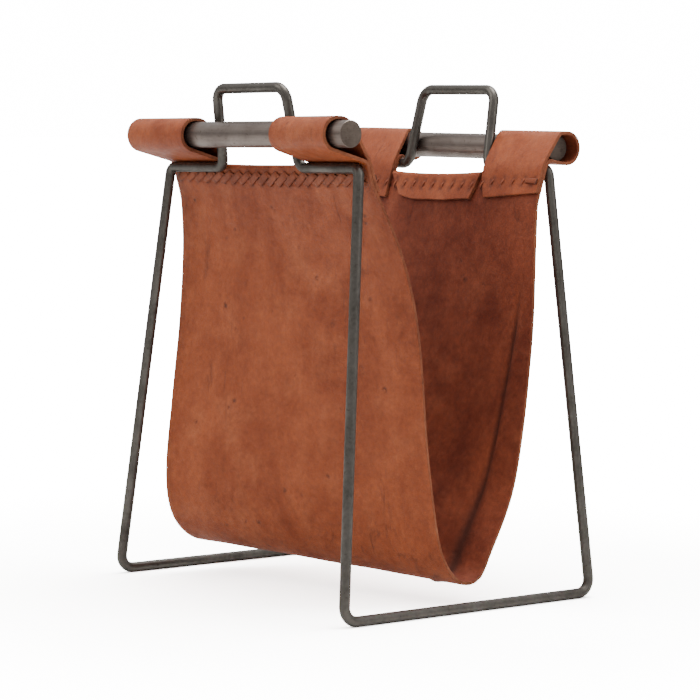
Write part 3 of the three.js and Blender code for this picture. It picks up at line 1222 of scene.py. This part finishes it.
@lru_cache(maxsize=4096)
def section(x: float) -> Section:
    """The panel's middle line at x, from the near fold to the far fold.

    Args:
        x: the place along the bars.

    Returns:
        The section there.
    """
    share = (x + HIDE.half_width) / (2 * HIDE.half_width)
    hang = (1 - share) * np.array(LEFT_END) + share * np.array(RIGHT_END)
    hang = hang * MM
    lift = np.where(hang[:, 0] < 0, NEAR.lift_at(x), FAR.lift_at(x))
    hang[:, 1] += lift * np.maximum(hang[:, 1] / ROD.shoulder_height, 0)

    def band(side: Side, down: float) -> np.ndarray:
        """A point of a side's laced band, as [across, height]."""
        out, height = band_point(down)
        return np.array([side.sign * out, height + side.lift_at(x)])

    def band_end(side: Side) -> np.ndarray:
        """The foot of a side's laced band."""
        return band(side, side.band_end[0] * (1 - share) + side.band_end[1] * share)

    curve = spline(np.array([band_end(NEAR), *hang, band_end(FAR)]), SECTION_POINTS)
    flat = np.array([band(NEAR, NEAR.fold(x)), *curve, band(FAR, FAR.fold(x))])
    flat = resample(flat, np.linspace(0, lengths(flat)[-1], SECTION_POINTS))
    flat = smoothed(flat, SMOOTHING)
    line = np.column_stack([np.full(len(flat), x), flat])
    slope = np.gradient(flat, axis=0)
    slope /= np.linalg.norm(slope, axis=1)[:, None]
    inwards = np.column_stack([np.zeros(len(flat)), -slope[:, 1], slope[:, 0]])
    along = lengths(line)
    ends = np.minimum(along, along[-1] - along) / END_CALM
    fade = np.clip(ends - 0.5, 0, 1)
    sway = np.array([
        noise.noise(Vector((x * 9, s * 7, 3.1)))
        + 0.35 * noise.noise(Vector((x * 26, s * 22, 8.4)))
        for s in along[::SWAY_STEP]
    ])
    sway = np.interp(np.arange(len(along)), np.arange(len(along))[::SWAY_STEP], sway)
    line = line + inwards * (SWAY * fade * sway)[:, None]
    return Section(line, lengths(line), inwards)


def leave_rod_for(circle: np.ndarray) -> float:
    """The angle at which a hide that goes on under a loop circle leaves the shoulder rod.

    Args:
        circle: the middle of the loop circle, as [out, height].

    Returns:
        The angle, in radians.
    """
    reach = circle - SHOULDER
    slope = math.atan2(reach[1], reach[0])
    return slope + math.acos((HIDE.rod_wrap + HIDE.bar_wrap) / float(np.hypot(*reach)))


def tab_line(side: Side, x: float) -> np.ndarray:
    """A tab's middle line at x, from the fold up over the rod, round the bar and back inside.

    Args:
        side: the side of the rack.
        x: the place along the bars.

    Returns:
        World points along the middle of the leather.
    """
    centre = centre_of(f"{side.name}_bar")
    bar = np.array([side.sign * centre.y, centre.z - side.lift_at(centre.x)])
    outer = bar + np.array([side.loop_slack, 0])
    touches_bar = leave_rod_for(outer) < math.pi / 2
    leave_rod = leave_rod_for(bar if touches_bar else outer)
    touch = bar - HIDE.bar_wrap * np.array([math.cos(leave_rod), math.sin(leave_rod)])
    knee = band_point(-1 * MM, 2 * HIDE.fold_radius)
    back = bar - knee
    spread = math.asin(HIDE.bar_wrap / float(np.hypot(*back)))
    leave_bar = math.atan2(back[1], back[0]) + spread + math.pi / 2
    entering = math.atan2(BAND_IN[1], BAND_IN[0])
    flat = np.concatenate([
        [band_point(side.fold(x))],
        arc(SHOULDER, HIDE.rod_wrap, entering, leave_rod),
        *([[touch]] if touches_bar else []),
        arc(outer, HIDE.bar_wrap, -math.pi / 2 if touches_bar else leave_rod - math.pi,
            math.pi / 2, 36),
        arc(bar, HIDE.bar_wrap, math.pi / 2, leave_bar),
        [knee],
    ])
    outwards = np.clip((flat[:, 0] - ROD.shoulder_out) / (bar[0] - ROD.shoulder_out), 0, 1)
    drawn = float(np.interp(x, HIDE.tab_edges, side.rack))
    world = np.column_stack([
        x - drawn * outwards, side.sign * flat[:, 0], flat[:, 1] + side.lift_at(x),
    ])
    reach = float(np.interp(x, HIDE.tab_edges, side.flap_end)) - side.fold(x)
    shares = np.linspace(0.1, 1, 20)
    flap = section(x).from_side(side, reach * shares, 2 * HIDE.fold_radius)
    inner = np.clip((HIDE.half_width - x) / (HIDE.half_width - HIDE.tab_inner), 0, 1)
    flap[:, 0] += side.flap_slant * shares * (inner if x > 0 else 0)
    return rounded(np.concatenate([world, flap]), 2)


def hem_line(side: Side, x: float) -> np.ndarray:
    """The hem's middle line at x: folded over at the top and down inside the panel.

    Args:
        side: the side of the rack.
        x: the place along the bars.

    Returns:
        World points along the middle of the leather.
    """
    here = section(x)
    fold = here.from_side(side, [0.0])[0]
    below = here.from_side(side, [2 * MM])[0]
    up = (fold - below) / np.linalg.norm(fold - below)
    inwards = here.from_side(side, [0.0], 1.0)[0] - fold
    turn = np.linspace(0, math.pi, 9)[:, None]
    top = fold + HIDE.fold_radius * (inwards * (1 - np.cos(turn)) + up * np.sin(turn))
    shares = np.linspace(0.06, 1, 18)
    lifted = 2 * HIDE.fold_radius + 0.7 * MM * shares**4
    inner = here.from_side(side, side.hem_depth(x) * shares, lifted)
    slant = side.hem_slant[0] if x < 0 else side.hem_slant[1]
    inner[:, 0] -= slant * shares * x / HIDE.hem_half
    return np.concatenate([top, inner])


# The old crease of the far wall: dented into the panel, and darkened along its groove as painted
# shade.
CREASE_INNER = 6 * MM
CREASE_FADE = 205 * MM
CREASE_TOP = 245 * MM
CREASE_HEIGHTS = np.array([16, 41, 66, 93, 120, 155, 212, 245]) * MM
CREASE_MIDDLE = np.array([97, 96, 96, 97.5, 98.5, 101, 107, 111]) * MM
CREASE_WIDTH = np.array([6.5, 6, 4.2, 2.6, 2.2, 2.2, 2.2, 2.2]) * MM


def crease_at(place: np.ndarray) -> float:
    """How deep the old crease of the far wall is at a point, from 0 to 1.

    Args:
        place: a world point of the panel.

    Returns:
        The depth as a share of the deepest.
    """
    if place[1] < CREASE_INNER or place[2] > CREASE_TOP:
        return 0.0
    middle = np.interp(place[2], CREASE_HEIGHTS, CREASE_MIDDLE)
    width = np.interp(place[2], CREASE_HEIGHTS, CREASE_WIDTH)
    fade = np.interp(place[2], (CREASE_FADE, CREASE_TOP), (1, 0))
    return float(fade * math.exp(-(((place[0] - middle) / width) ** 2)))


# ------------------------------------------------------------------------- the sling


@dataclass
class LeatherSling:
    """The hide: a hanging panel, a folded hem on each side and four laced tabs."""

    column_width: float = 2.45 * MM
    band_row: float = 1.7 * MM
    hang_row: float = 6 * MM
    tab_rows: int = 64
    hem_rows: int = 26
    band_length: float = 34 * MM
    hang_length: float = 600 * MM
    crease_depth: float = 1.4 * MM
    pucker: float = 0.5 * MM
    inner_reach: float = 2.6 * MM
    outer_reach: float = 3.6 * MM
    edge_round: float = 0.35 * MM
    points: list = field(default_factory=list)
    faces: list = field(default_factory=list)
    creases: list = field(default_factory=list)

    def columns(self) -> np.ndarray:
        """x of every column of the hide, closest at the slits.

        Returns:
            The places, from left to right.
        """
        tab = round((HIDE.half_width - HIDE.tab_inner) / self.column_width)
        hem = round(2 * HIDE.hem_half / self.column_width)
        return np.concatenate([
            np.linspace(-HIDE.half_width, -HIDE.tab_inner, tab + 1),
            np.linspace(-HIDE.hem_half, HIDE.hem_half, hem + 1),
            np.linspace(HIDE.tab_inner, HIDE.half_width, tab + 1),
        ])

    def panel(self, columns: np.ndarray) -> list[list[int]]:
        """Adds the hanging panel and returns its vertex indices by row.

        Args:
            columns: x of every column.

        Returns:
            The vertex indices, a list for each row from near to far.
        """
        band = np.arange(0, self.band_length, self.band_row)
        hang = round(self.hang_length / self.hang_row)
        middle = np.linspace(0, 1, hang + 2)[1:-1]
        rows = []
        for x in columns:
            here = section(float(x))
            free = band[-1] + middle * (here.length - 2 * band[-1])
            at = np.concatenate([band, free, here.length - band[::-1]])
            lines = here.at(at)
            creases = np.array([crease_at(place) for place in lines])
            rows.append(here.at(at, -self.crease_depth * creases))
            self.creases.append(creases)
        grid = np.stack(rows, axis=1)
        index = []
        for row in grid:
            first = len(self.points)
            self.points.extend(row)
            index.append(list(range(first, first + len(row))))
        self.join(index)
        return index

    def join(self, index: list[list[int]], flip: bool = False) -> None:
        """Adds the faces between rows of vertices.

        Args:
            index: the vertex indices, row by row.
            flip: whether the faces look the other way.
        """
        for upper, lower in zip(index, index[1:]):
            for a, b, c, d in zip(upper, upper[1:], lower[1:], lower):
                self.faces.append((a, b, c, d) if flip else (a, d, c, b))

    def flap(self, side: Side, root: list[int], xs: np.ndarray, rows: int, line: Callable) -> None:
        """Adds a tab or a hem that grows from a stretch of the panel's fold.

        Args:
            side: the side that it is on.
            root: the vertices that it grows from.
            xs: x of each of them.
            rows: how many rows to add.
            line: the function that gives its middle line.
        """
        index = [root]
        lines = [line(side, float(x)) for x in xs]
        shares = np.linspace(0, 1, rows + 1)[1:]
        placed = [resample(one, shares * lengths(one)[-1]) for one in lines]
        for row in range(rows):
            first = len(self.points)
            self.points.extend(one[row] for one in placed)
            index.append(list(range(first, first + len(xs))))
        self.join(index, flip=side is NEAR)

    def build(self, *materials: bpy.types.Material) -> bpy.types.Object:
        """Builds the hide, gives it its thickness and rounds its cut edges.

        Args:
            materials: grain side, flesh side with painted shade, and cut edge.

        Returns:
            The hide.
        """
        columns = self.columns()
        index = self.panel(columns)
        tab = round((HIDE.half_width - HIDE.tab_inner) / self.column_width) + 1
        parts = ((0, tab), (tab, len(columns) - tab), (len(columns) - tab, len(columns)))
        for side, root in ((NEAR, index[0]), (FAR, index[-1])):
            for place, (start, stop) in enumerate(parts):
                rows, line = (self.hem_rows, hem_line) if place == 1 else (self.tab_rows, tab_line)
                self.flap(side, root[start:stop], columns[start:stop], rows, line)
        sling = mesh_piece("leather_sling_hide", self.points, self.faces)
        self.pucker_and_paint_shade(sling)
        dress(sling, "sling_leather", *materials)
        solid = sling.modifiers.new("thickness", "SOLIDIFY")
        solid.thickness = HIDE.thickness
        solid.offset = 0
        solid.material_offset = 1
        solid.material_offset_rim = 2
        rim = sling.modifiers.new("worn_edges", "BEVEL")
        rim.width = self.edge_round
        rim.segments = 2
        rim.limit_method = "ANGLE"
        rim.angle_limit = math.radians(62)
        rim.material = -1
        apply_modifiers(sling)
        shade_smooth(sling, 60)
        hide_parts("leather_sling")
        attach(sling, "frame")
        return sling

    def pucker_and_paint_shade(self, sling: bpy.types.Object) -> None:
        """Puckers the hide at the lace's holes and writes the painted-shade masks that its
        finishes read.

        One point attribute is 1 round the lace's holes, where shade is painted as the lace dents
        the hide, and the point attribute "crease" is 1 along the old crease of the far wall, with
        shade painted in it.

        Args:
            sling: the hide before it has its thickness.
        """
        places = np.array(self.points)
        # Painted shade round each of the lace's holes, where the lace dents the hide.
        lace_shade = np.zeros(len(places))
        for side in SIDES:
            lace = Lace(side)
            outwards = np.array([0, -side.sign * BAND_IN[0], -BAND_IN[1]])
            for spot in lace.inner_holes():
                away = np.linalg.norm(places - spot, axis=1)
                dent = self.pucker * np.exp(-((away / self.inner_reach) ** 2))
                places += outwards * dent[:, None]
                lace_shade = np.maximum(lace_shade, np.clip(1.3 - away / self.inner_reach, 0, 1))
            for spot in lace.outer_holes():
                away = np.linalg.norm(places - spot, axis=1)
                lace_shade = np.maximum(lace_shade, np.clip(1.1 - away / self.outer_reach, 0, 1))
        sling.data.vertices.foreach_set("co", places.astype(np.float32).ravel())
        # Painted shade along the far wall's crease, for the finish to darken.
        crease = np.zeros(len(places))
        panel = np.stack(self.creases, axis=1).ravel()
        crease[: len(panel)] = panel
        for name, values in (("lace_shade", lace_shade), ("crease", crease)):
            attribute = sling.data.attributes.new(name, "FLOAT", "POINT")
            attribute.data.foreach_set("value", values.astype(np.float32))


@dataclass
class Lace:
    """The flat thong that closes one side: crossed outside, in short bites inside."""

    side: Side
    pitch: float = 11.8 * MM
    stitches: int = 21
    over_width: float = 6.0 * MM
    under_width: float = 3.8 * MM
    thickness: float = 1.6 * MM
    over_rise: float = 1.3 * MM
    under_rise: float = 0.5 * MM
    tuck: float = 1.6 * MM
    bite_half: float = 3.2 * MM
    bite_width: float = 2.1 * MM
    bite_thickness: float = 1.1 * MM
    tail_length: float = 15 * MM
    tail_width: float = 4.4 * MM
    tail_thickness: float = 1.4 * MM
    ring: int = 12
    points: list = field(default_factory=list)
    faces: list = field(default_factory=list)
    # A painted-shade value for every point of the thong: 1 at its ends, where it dips into its
    # holes, and high along its edges.
    marks: list = field(default_factory=list)

    def places(self) -> np.ndarray:
        """x of every stitch."""
        return (np.arange(self.stitches) - (self.stitches - 1) / 2) * self.pitch

    def chance(self, x: float, seed: float) -> float:
        """A number from -1 to 1 that is fixed for a stitch."""
        return noise.noise(Vector((x * 211, seed * 7.3, self.side.sign)))

    def inner_holes(self) -> list[np.ndarray]:
        """The ends and the middle of every bite on the inside of the band.

        Returns:
            World points on the inner face.
        """
        deep = HIDE.inside
        holes = []
        for x in self.places():
            upper, lower = self.bite_rows(x)
            holes += [
                self.on_band(x + lean, down, deep)
                for lean, down in ((1.6 * MM, upper), (0, (upper + lower) / 2), (-1.6 * MM, lower))
            ]
        return holes

    def outer_holes(self) -> list[np.ndarray]:
        """Every hole on the outside of the band.

        Returns:
            World points on the outer face.
        """
        return [
            self.on_band(x, down, -HIDE.thickness / 2)
            for x in self.places() for down in self.side.lace_rows(x)
        ]

    def bite_rows(self, x: float) -> tuple[float, float]:
        """The two ends of the bite at x, down from the fold.

        Args:
            x: the place along the bars.

        Returns:
            The depth of the upper end and of the lower one.
        """
        upper, lower = self.side.lace_rows(x)
        middle, half = (upper + lower) / 2, min((lower - upper) / 2, self.bite_half)
        return middle - half * (1 + 0.25 * self.chance(x, 1)), middle + half

    def on_band(self, x: float, down: float, deep: float) -> np.ndarray:
        """A point of the band at x, down from its fold and deep from its middle."""
        x = float(np.clip(x, -HIDE.half_width, HIDE.half_width))
        return section(round(x, 5)).from_side(self.side, [down], deep)[0]

    def strip(self, line: Sequence, normals: Sequence, widths: Sequence, thick: float) -> None:
        """Adds one stretch of thong as a closed, softly rounded strip.

        Args:
            line: the points of its middle.
            normals: the direction that its face looks in at each point.
            widths: its width at each point.
            thick: its thickness.
        """
        line, normals = np.array(line), np.array(normals)
        ahead = np.gradient(line, axis=0)
        ahead /= np.linalg.norm(ahead, axis=1)[:, None]
        across = np.cross(ahead, normals)
        across /= np.linalg.norm(across, axis=1)[:, None]
        up = np.cross(across, ahead)
        angles = np.linspace(0, 2 * math.pi, self.ring, endpoint=False)
        c, s = np.cos(angles), np.sin(angles)
        flat = np.sign(c) * np.abs(c) ** 0.7 / 2
        tall = np.sign(s) * np.abs(s) ** 0.7 * thick / 2
        first, rings = len(self.points), len(line)
        for i, (place, sideways, upwards) in enumerate(zip(line, across, up)):
            end = abs(2 * i / (rings - 1) - 1) ** 6
            for a, b in zip(flat, tall):
                self.points.append(place + sideways * a * widths[i] + upwards * b)
                # Painted shade: darker towards the thong's ends, where it dips into its holes, and
                # along its edges.
                self.marks.append(max(end, abs(2 * a) ** 7 * 0.9))
        for ring in range(rings - 1):
            for k in range(self.ring):
                a = first + ring * self.ring + k
                b = first + ring * self.ring + (k + 1) % self.ring
                self.faces.append((a, b, b + self.ring, a + self.ring))
        self.faces.append(tuple(first + k for k in range(self.ring))[::-1])
        last = first + (rings - 1) * self.ring
        self.faces.append(tuple(last + k for k in range(self.ring)))

    def crossing(self, x: float, lean: int, width: float, rise: float) -> None:
        """Adds one slanted thong on the outside, from one row of holes to the other.

        Args:
            x: its middle along the bars.
            lean: 1 or -1, the way that it slants.
            width: the width of the thong.
            rise: how far it stands off the hide.
        """
        reach = (0.62 + 0.05 * self.chance(x, 2)) * self.pitch
        width *= 1 + 0.12 * self.chance(x, 3)
        rise *= 1 + 0.2 * self.chance(x, 4)
        line, normals, widths = [], [], []
        for t in np.sin(np.linspace(-math.pi / 2, math.pi / 2, 19)):
            at = x + lean * reach * t
            upper, lower = self.side.lace_rows(at)
            down = (upper + lower) / 2 - (lower - upper) / 2 * t
            deep = -(HIDE.thickness / 2 + rise - (rise + self.tuck) * abs(t) ** 9)
            line.append(self.on_band(at, down, deep))
            normals.append(line[-1] - self.on_band(at, down, deep + 1 * MM))
            widths.append(width * (1 - 0.22 * abs(t) ** 4))
        self.strip(line, normals, widths, self.thickness)

    def bite(self, x: float) -> None:
        """Adds one short slanted bite of thong on the inside.

        Args:
            x: its middle along the bars.
        """
        upper, lower = self.bite_rows(x)
        surface = HIDE.inside
        line, normals = [], []
        for share in np.linspace(-1, 1, 11):
            deep = surface - 0.15 * MM - 1.2 * MM * share**2
            down = (upper + lower) / 2 - share * (lower - upper) / 2
            at = x + share * 1.5 * MM
            line.append(self.on_band(at, down, deep))
            normals.append(self.on_band(at, down, deep + 1 * MM) - line[-1])
        self.strip(line, normals, [self.bite_width] * len(line), self.bite_thickness)

    def tail(self) -> None:
        """Adds the loose end of the thong, which lies along the band at its right end."""
        start = self.places()[-2] + 2 * MM
        surface = HIDE.inside
        line, normals = [], []
        for share in np.linspace(0, 1, 14):
            at = start + self.tail_length * share
            upper, lower = self.side.lace_rows(at)
            down = (upper + lower) / 2 - 0.6 * MM + 1.0 * MM * share
            deep = surface + 0.9 * MM * min(5 * share, 1) - 1.2 * MM * max(1 - 8 * share, 0)
            line.append(self.on_band(at, down, deep))
            normals.append(self.on_band(at, down, deep + 1 * MM) - line[-1])
        self.strip(line, normals, [self.tail_width] * len(line), self.tail_thickness)

    def build(self, leather: bpy.types.Material) -> bpy.types.Object:
        """Builds the whole lace of this side.

        Args:
            leather: the lace's material.

        Returns:
            The lace.
        """
        places = self.places()
        for x in places[:-1] + self.pitch / 2:
            self.crossing(x, -1, self.under_width, self.under_rise)
        for x in places[:-1] + self.pitch / 2:
            self.crossing(x, 1, self.over_width, self.over_rise)
        for x in places:
            self.bite(x)
        self.tail()
        lace = mesh_piece(f"{self.side.name}_lace_thong", self.points, self.faces)
        # The thong's painted shade, read by its finish.
        attribute = lace.data.attributes.new("lace_shade", "FLOAT", "POINT")
        attribute.data.foreach_set("value", np.array(self.marks, np.float32))
        pick(lace)
        edit_all()
        bpy.ops.mesh.normals_make_consistent(inside=False)
        bpy.ops.object.mode_set(mode="OBJECT")
        shade_smooth(lace, 70)
        dress(lace, "lace_leather", leather)
        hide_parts(f"{self.side.name}_lace")
        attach(lace, "frame")
        return lace


# ------------------------------------------------------------------------- studio


@dataclass(frozen=True)
class Studio:
    """A pale floor, soft light and the camera."""

    target: tuple[float, float, float] = (-0.005, 0.0, 0.1857)
    distance: float = 2.1911
    azimuth: float = math.radians(51.787)
    elevation: float = math.radians(4.832)
    roll: float = math.radians(0.808)
    lens: float = 143.43
    sensor: float = 36.0
    reach: float = 100.0
    lamp_aim: tuple[float, float, float] = (0.0, 0.0, 0.2)
    floor_half: float = 30.0
    white: float = 16.0
    dome: tuple[float, float] = (0.30, 1.15)

    def camera(self) -> None:
        """Places the camera and makes it the scene's."""
        back = Vector((
            math.sin(self.azimuth) * math.cos(self.elevation),
            -math.cos(self.azimuth) * math.cos(self.elevation),
            math.sin(self.elevation),
        ))
        right = Vector((0, 0, 1)).cross(back).normalized()
        up = back.cross(right)
        across = right * math.cos(self.roll) + up * math.sin(self.roll)
        upright = up * math.cos(self.roll) - right * math.sin(self.roll)
        data = bpy.data.cameras.new("camera")
        data.lens = self.lens
        data.sensor_width = self.sensor
        data.clip_end = self.reach
        eye = bpy.data.objects.new("camera", data)
        turned = Matrix((across, upright, back)).transposed().to_4x4()
        turned.translation = Vector(self.target) + back * self.distance
        eye.matrix_world = turned
        bpy.context.collection.objects.link(eye)
        bpy.context.scene.camera = eye

    def floor(self) -> None:
        """Lays a pale floor that runs out into white, as a studio sweep does."""
        size = self.floor_half
        corners = [(-size, -size, 0), (size, -size, 0), (size, size, 0), (-size, size, 0)]
        floor = mesh_piece("floor", corners, [(0, 1, 2, 3)])
        material = bpy.data.materials.new("pale_floor")
        material.use_nodes = True
        g = Graph(material.node_tree)
        material.node_tree.nodes.remove(material.node_tree.nodes["Principled BSDF"])
        away = g.node("VectorMath", operation="LENGTH")
        g.link(g.node("TexCoord").outputs["Object"], away.inputs[0])
        sweep = g.node("Emission")
        glow = g.ramp(away.outputs["Value"], 0.3, 1.5, (0.0, self.white))
        g.link(glow, sweep.inputs["Strength"])
        bright = g.node("BsdfDiffuse", in_Color=rgba(7.0, 7.0, 6.9))
        seen = g.node("AddShader")
        g.link(bright.outputs[0], seen.inputs[0])
        g.link(sweep.outputs[0], seen.inputs[1])
        lit = g.node("BsdfDiffuse", in_Color=rgba(0.8, 0.8, 0.79))
        surface = g.camera_sees(seen.outputs[0], lit.outputs[0])
        g.link(surface, material.node_tree.nodes["Material Output"].inputs[0])
        floor.data.materials.append(material)

    def world(self) -> None:
        """Sets a white backdrop with a soft dome that is brightest overhead."""
        world = bpy.data.worlds.new("studio")
        world.use_nodes = True
        g = Graph(world.node_tree)
        dome = world.node_tree.nodes["Background"]
        split = g.node("SeparateXYZ")
        g.link(g.node("TexCoord").outputs["Generated"], split.inputs[0])
        light = g.ramp(split.outputs[2], -0.05, 0.9, self.dome)
        g.link(light, dome.inputs[1])
        backdrop = g.node("Background")
        backdrop.inputs[1].default_value = self.white
        surface = g.camera_sees(backdrop.outputs[0], dome.outputs[0])
        g.link(surface, world.node_tree.nodes["World Output"].inputs[0])
        for background in (dome, backdrop):
            background.inputs[0].default_value = rgba(1.0, 1.0, 1.0)
        bpy.context.scene.world = world

    def lights(self) -> None:
        """Hangs three soft lights."""
        for name, place, size, power in (
            ("key", (-0.9, -2.0, 2.0), 1.6, 25.0),
            ("edge", (2.2, 0.9, 1.3), 0.9, 9.0),
            ("top", (0.1, 0.3, 1.9), 1.1, 34.0),
        ):
            data = bpy.data.lights.new(name, "AREA")
            data.size = size
            data.energy = power
            lamp = bpy.data.objects.new(name, data)
            lamp.location = place
            aim = Vector(self.lamp_aim) - Vector(place)
            lamp.rotation_euler = aim.to_track_quat("-Z", "Y").to_euler()
            bpy.context.collection.objects.link(lamp)


# ------------------------------------------------------------------------- the rack


def declare_sling() -> None:
    panel = section(0.0).length
    tab = float(np.mean([lengths(tab_line(side, 0.09))[-1] for side in SIDES]))
    hem = float(np.mean([lengths(hem_line(side, 0.0))[-1] for side in SIDES]))


def main() -> None:
    """Builds the rack piece by piece."""
    logging.basicConfig(level=logging.INFO, format="%(name)s: %(message)s")
    studio = Studio()
    studio.camera()
    studio.floor()
    studio.world()
    studio.lights()
    groups = Groups()
    finish = {kind: kind.value.material(groups) for kind in Finish}
    pieces = [SideRod(side).build(finish[Finish.ROD_IRON]) for side in SIDES]
    pieces += [RailWeld(end).build(finish[Finish.WELD_IRON]) for end in (-1, 1)]
    pieces += [
        CarryingBar(side).build(finish[Finish.BAR_STEEL], finish[Finish.BAR_END]) for side in SIDES
    ]
    sling = LeatherSling().build(
        finish[Finish.GRAIN_SIDE], finish[Finish.FLESH_SIDE], finish[Finish.CUT_EDGE]
    )
    laces = [Lace(side).build(finish[Finish.LACE]) for side in SIDES]
    pieces += [sling, *laces]
    declare_sling()
    for piece in pieces:
        LOG.info("%s: %d faces", piece.name, len(piece.data.polygons))


if __name__ == "__main__":
    main()
